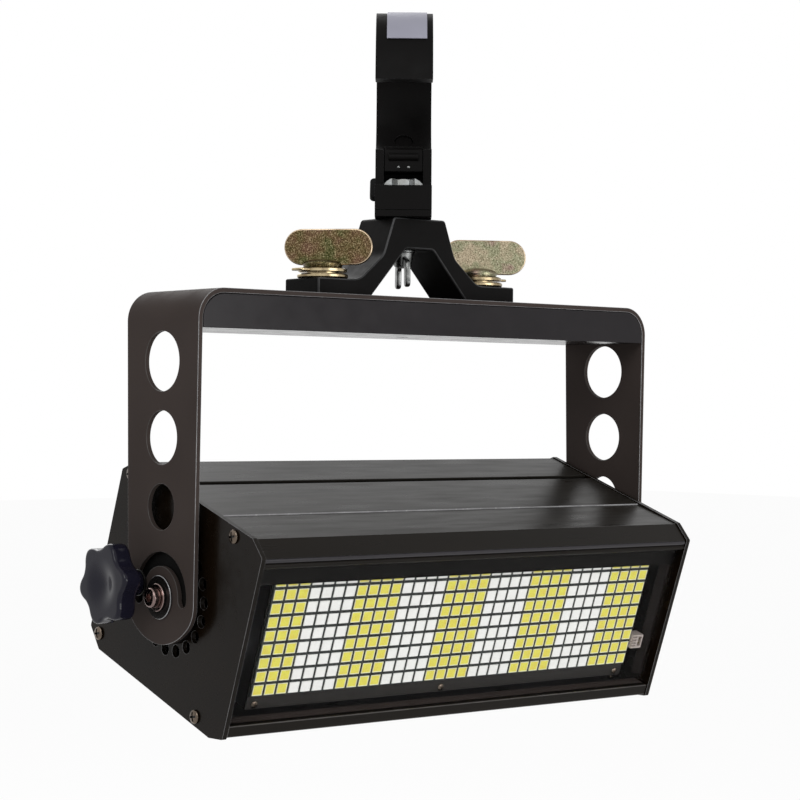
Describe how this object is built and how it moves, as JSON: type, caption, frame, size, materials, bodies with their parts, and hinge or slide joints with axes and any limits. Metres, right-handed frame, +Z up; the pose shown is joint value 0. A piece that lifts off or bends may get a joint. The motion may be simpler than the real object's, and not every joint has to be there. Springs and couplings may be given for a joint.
{
  "type": "strobe light",
  "caption": "Stage strobe light: a glazed housing with an LED field, tilting in a bent yoke on locking star knobs, hung from an omega bracket and a swivelling hook clamp.",
  "frame": {"origin": "on the axis of the tube that the hook clamp holds, in the middle of the clamp's width", "axes": "+Z up, +X to the right seen from the light's front, the lit window faces -Y; the yoke's width runs along X"},
  "size_m": [0.3484, 0.1502, 0.366],
  "materials": {
    "black_paint": "satin, faintly warm black",
    "cast_black": "semi-gloss black coat",
    "gloss_black": "glossy black",
    "knob_plastic": "bluish black, semi-gloss",
    "zinc": "bright zinc with a faint iridescent tint",
    "yellow_zinc": "yellow zinc, speckled",
    "steel": "bright plated steel",
    "screw_steel": "bronze-tinted screws",
    "rubber": "matt black",
    "glass": "clear, flat",
    "led_white": "pale LED packages in rows",
    "connector_white": "off-white",
    "bare_aluminium": "bare",
    "supply_steel": "folded sheet steel",
    "socket_blue": "blue",
    "socket_grey": "light grey",
    "socket_black": "black",
    "display": "dark display frame",
    "plate": "plain grey plate"
  },
  "bodies": {
    "clamp": {"clamp_hook": "cast_black", "tube_saddle": "black_paint", "hanging_bolt": "steel", "bolt_washer": "steel", "swivel_plate": "black_paint", "hook_plate": "plate"},
    "clamp_screw": {"clamp_screw": "cast_black"},
    "wing_nut": {"wing_nut": "steel"},
    "yoke": {"omega_bracket": "cast_black", "yoke_strap": "black_paint", "yoke_channel": "black_paint", "left_fastener_base": "zinc", "right_fastener_base": "zinc", "left_fastener_receptacle": "zinc", "right_fastener_receptacle": "zinc", "left_pivot_bush": "gloss_black", "right_pivot_bush": "gloss_black"},
    "left_wing": {"left_fastener_wing": "yellow_zinc"},
    "right_wing": {"right_fastener_wing": "yellow_zinc"},
    "head": {"left_pivot_washer": "steel", "left_pivot_screw": "steel", "left_friction_disc": "rubber", "left_end_plate": "black_paint", "left_window_cheek": "gloss_black", "left_screw_front_top": "screw_steel", "left_screw_front_low": "screw_steel", "left_screw_rear_top": "screw_steel", "left_screw_rear_low": "screw_steel", "right_pivot_washer": "steel", "right_pivot_screw": "steel", "right_friction_disc": "rubber", "right_end_plate": "black_paint", "right_window_cheek": "gloss_black", "right_screw_front_top": "screw_steel", "right_screw_front_low": "screw_steel", "right_screw_rear_top": "screw_steel", "right_screw_rear_low": "screw_steel", "top_panel": "black_paint", "bottom_panel": "black_paint", "rear_cover": "black_paint", "window_glass": "glass", "led_board": "led_white", "led_connector": "connector_white", "heat_sink": "bare_aluminium", "power_supply": "supply_steel", "fan_frame": "gloss_black", "power_inlet": "socket_blue", "power_outlet": "socket_grey", "data_inlet": "socket_black", "data_outlet": "socket_black", "display_bezel": "display", "safety_eyelet": "steel"},
    "left_knob": {"left_star_knob": "knob_plastic"},
    "right_knob": {"right_star_knob": "knob_plastic"},
    "fan": {"fan_rotor": "gloss_black"},
    "button_1": {"menu_button_1": "rubber"},
    "button_2": {"menu_button_2": "rubber"},
    "button_3": {"menu_button_3": "rubber"},
    "button_4": {"menu_button_4": "rubber"}
  },
  "joints": [
    {"name": "clamp_screw_turn", "type": "hinge", "parent": "clamp", "child": "clamp_screw", "pos_m": [0.02187, 0.02616, -0.03657], "axis": [0.4375, 0.5232, -0.7314], "continuous": true},
    {"name": "yoke_swivel", "type": "hinge", "parent": "clamp", "child": "yoke", "pos_m": [0, 0, -0.0623], "axis": [0, 0, 1], "continuous": true},
    {"name": "wing_nut_turn", "type": "hinge", "parent": "clamp", "child": "wing_nut", "pos_m": [0, 0, -0.0836], "axis": [0, 0, 1], "continuous": true},
    {"name": "left_wing_turn", "type": "hinge", "parent": "yoke", "child": "left_wing", "pos_m": [-0.0535, 0, -0.09], "axis": [0, 0, 1], "range_deg": [0, 90]},
    {"name": "right_wing_turn", "type": "hinge", "parent": "yoke", "child": "right_wing", "pos_m": [0.0535, 0, -0.09], "axis": [0, 0, 1], "range_deg": [0, 90]},
    {"name": "head_tilt", "type": "hinge", "parent": "yoke", "child": "head", "pos_m": [0, 0, -0.2543], "axis": [1, 0, 0], "range_deg": [-19.3, 160.7]},
    {"name": "left_knob_turn", "type": "hinge", "parent": "head", "child": "left_knob", "pos_m": [-0.16, 0.01756, -0.24815], "axis": [-1, 0, 0], "continuous": true},
    {"name": "right_knob_turn", "type": "hinge", "parent": "head", "child": "right_knob", "pos_m": [0.16, 0.01756, -0.24815], "axis": [1, 0, 0], "continuous": true},
    {"name": "fan_spin", "type": "hinge", "parent": "head", "child": "fan", "pos_m": [-0.08808, 0.04908, -0.23711], "axis": [0, 0.9438, 0.3305], "continuous": true},
    {"name": "button_1_press", "type": "slide", "parent": "head", "child": "button_1", "axis": [0, -0.9438, -0.3305], "range_m": [0, 0.0014], "stiffness_N_per_m": 300, "springref_m": -0.0005},
    {"name": "button_2_press", "type": "slide", "parent": "head", "child": "button_2", "axis": [0, -0.9438, -0.3305], "range_m": [0, 0.0014], "stiffness_N_per_m": 300, "springref_m": -0.0005},
    {"name": "button_3_press", "type": "slide", "parent": "head", "child": "button_3", "axis": [0, -0.9438, -0.3305], "range_m": [0, 0.0014], "stiffness_N_per_m": 300, "springref_m": -0.0005},
    {"name": "button_4_press", "type": "slide", "parent": "head", "child": "button_4", "axis": [0, -0.9438, -0.3305], "range_m": [0, 0.0014], "stiffness_N_per_m": 300, "springref_m": -0.0005}
  ]
}
